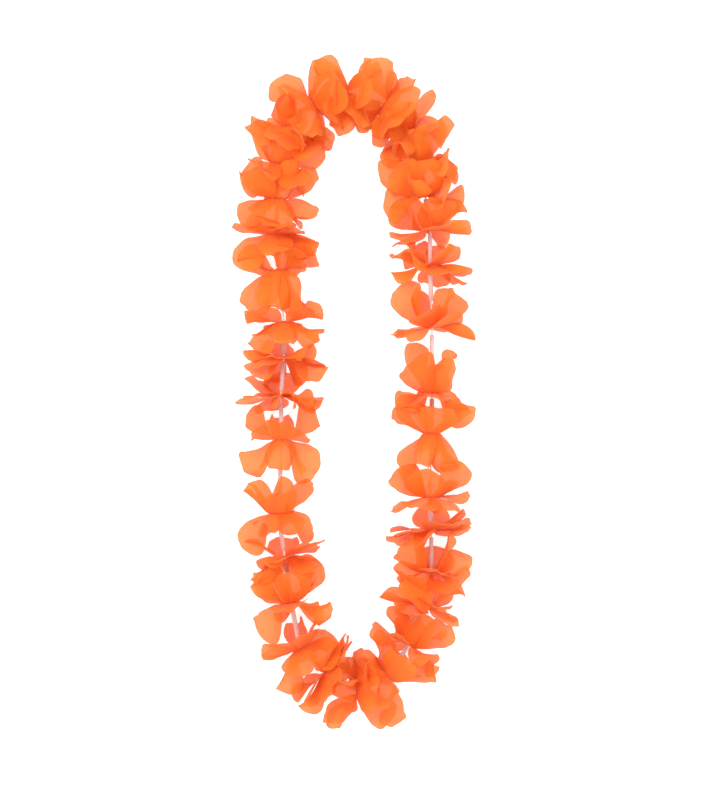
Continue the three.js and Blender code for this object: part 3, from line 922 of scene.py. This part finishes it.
def gap_after(flowers, i):
    """The free stretch of the cord between flower i and the next one."""
    before, after = flowers[i], flowers[(i + 1) % COUNT]
    way = unit(after.hub - before.hub)
    start = before.hub + way * standoff(before)
    end = after.hub - way * standoff(after)
    return SimpleNamespace(start=start, end=end, way=way, room=float(np.linalg.norm(end - start)))


def spacer_mesh(gap, i):
    """A thin tube with rounded lips, a little out of round, as points and faces."""
    outer = TUBE_DIAMETER / 2
    inner = outer - TUBE_WALL
    profile = [
        (0, inner + TUBE_LIP),
        (0, outer - TUBE_LIP),
        (TUBE_LIP, outer),
        (TUBE_LENGTH - TUBE_LIP, outer),
        (TUBE_LENGTH, outer - TUBE_LIP),
        (TUBE_LENGTH, inner + TUBE_LIP),
        (TUBE_LENGTH - TUBE_LIP, inner),
        (TUBE_LIP, inner),
    ]
    start = gap.start + gap.way * (gap.room - TUBE_LENGTH) * SLIDES.get(i + 1, CENTRED)
    side = unit(np.cross(gap.way, UP))
    up = np.cross(side, gap.way)
    turn = TAU * np.arange(TUBE_SIDES)[:, None] / TUBE_SIDES
    squeeze = SQUEEZE * math.sin(SQUEEZE_STEP * i)
    ring = np.cos(turn) * side * (1 - squeeze) + np.sin(turn) * up * (1 - abs(squeeze))
    points = np.vstack([start + gap.way * at + ring * radius for at, radius in profile])
    index = np.arange(len(points)).reshape(len(profile), TUBE_SIDES)
    below = np.roll(index, -1, axis=0)
    after = np.roll(index, -1, axis=1)
    beyond = np.roll(below, -1, axis=1)
    return points, np.stack([index, below, beyond, after], axis=-1).reshape(-1, 4)


def dress_spacers(flowers, material):
    for i in range(COUNT):
        node_name = f"spacer_{i + 1:02d}"
        points, faces = spacer_mesh(gap_after(flowers, i), i)
        piece = make_piece("tube_" + node_name, points, faces, material)
        stand_in(piece, node_name)


# ---- Cord ----


def cord_route(flowers):
    """The cord's middle line from the knot once round the lei and back, and the knot's place and way."""
    gap = gap_after(flowers, KNOT_GAP - 1)
    middle = gap.end - gap.way * KNOT_PLACE
    holes = [flowers[(KNOT_GAP + n) % COUNT].hub for n in range(COUNT)]
    corners = np.array([middle + gap.way * KNOT_RADIUS, *holes, middle - gap.way * KNOT_RADIUS])
    at = lengths_along(corners)
    places = np.arange(0, at[-1], PLY_STEP)
    route = np.stack([np.interp(places, at, corners[:, axis]) for axis in range(3)], axis=1)
    return route, middle, gap.way


def lengths_along(route):
    """How far along a route each of its points lies."""
    return np.concatenate([[0], np.cumsum(np.linalg.norm(np.diff(route, axis=0), axis=1))])


def plies(route):
    """The strands of a twisted cord round a route, as points and faces."""
    ahead = unit(np.gradient(route, axis=0))
    side = unit(np.cross(ahead, UP))
    up = np.cross(side, ahead)
    length = lengths_along(route)
    offset = (CORD_DIAMETER - PLY_DIAMETER) / 2
    made = []
    for ply in range(PLIES):
        turn = (TAU * length / PLY_PITCH + TAU * ply / PLIES)[:, None]
        strand = route + offset * (np.cos(turn) * side + np.sin(turn) * up)
        made.append(tube(strand, PLY_DIAMETER / 2, PLY_SIDES))
    return made


def knot_routes(middle, way):
    """The turns of the knot and its two tails."""
    side = unit(np.cross(way, UP))
    up = np.cross(side, way)
    t = np.linspace(0, 1, KNOT_STEPS)[:, None]
    angle = KNOT_TURNS * TAU * t
    radius = KNOT_RADIUS * (1 + KNOT_UNEVENNESS * np.cos(KNOT_LOBES * angle))
    coil = middle + way * KNOT_REACH * (t - 0.5) + radius * (np.cos(angle) * side + np.sin(angle) * up)
    routes = [coil]
    for sign, start in ((-1, coil[0]), (1, coil[-1])):
        lean = sign * TAIL_LEAN
        away = way * math.cos(lean) * sign + side * math.sin(lean)
        s = np.linspace(0, 1, TAIL_STEPS)[:, None]
        routes.append(start + away * TAIL_LENGTH * s + up * TAIL_BOW * np.sin(s * math.pi))
    return routes


def dress_cord(flowers, material):
    route, middle, way = cord_route(flowers)
    strands = [strand for part in (route, *knot_routes(middle, way)) for strand in plies(part)]
    piece = make_piece("twisted_cord", *joined(strands), material)
    stand_in(piece, "cord")


# ---- Surface, light and camera ----


def make_stage():
    mesh = bpy.data.meshes.new("floor")
    r = FLOOR_REACH
    corners = [(-r, -r, 0), (r, -r, 0), (r, r, 0), (-r, r, 0)]
    mesh.from_pydata(corners, [], [(0, 1, 2, 3)])
    mesh.materials.append(floor_paint())
    floor = bpy.data.objects.new("floor", mesh)
    bpy.context.scene.collection.objects.link(floor)


def make_light():
    world = bpy.data.worlds.new("studio")
    bpy.context.scene.world = world
    world.use_nodes = True
    background = world.node_tree.nodes["Background"]
    background.inputs["Color"].default_value = (1, 1, 1, 1)
    background.inputs["Strength"].default_value = STUDIO_BRIGHTNESS
    for name, lamp in LAMPS.items():
        data = bpy.data.lights.new(name, "AREA")
        data.size = lamp.size
        data.energy = lamp.power
        light = bpy.data.objects.new(name, data)
        light.location = lamp.place
        light.rotation_mode = "QUATERNION"
        light.rotation_quaternion = (-Vector(lamp.place)).to_track_quat("-Z", "Y")
        bpy.context.scene.collection.objects.link(light)


def make_camera():
    data = bpy.data.cameras.new("above")
    data.lens = LENS
    data.sensor_width = SENSOR
    data.clip_end = SEEN_TO
    camera = bpy.data.objects.new("above", data)
    distance = FRAME_HEIGHT / 2 / (SENSOR / 2 / LENS)
    camera.location = (FRAME_CENTRE[0] * MM, FRAME_CENTRE[1] * MM, (distance + CORD_HEIGHT) * MM)
    bpy.context.scene.collection.objects.link(camera)
    bpy.context.scene.camera = camera


make_camera()
make_light()
make_stage()
bpy.context.scene.view_settings.view_transform = "Standard"  # which keeps the surface white
lei = threaded()
dress_flowers(lei, petal_fabric())
dress_spacers(lei, spacer_plastic())
dress_cord(lei, cord_thread())
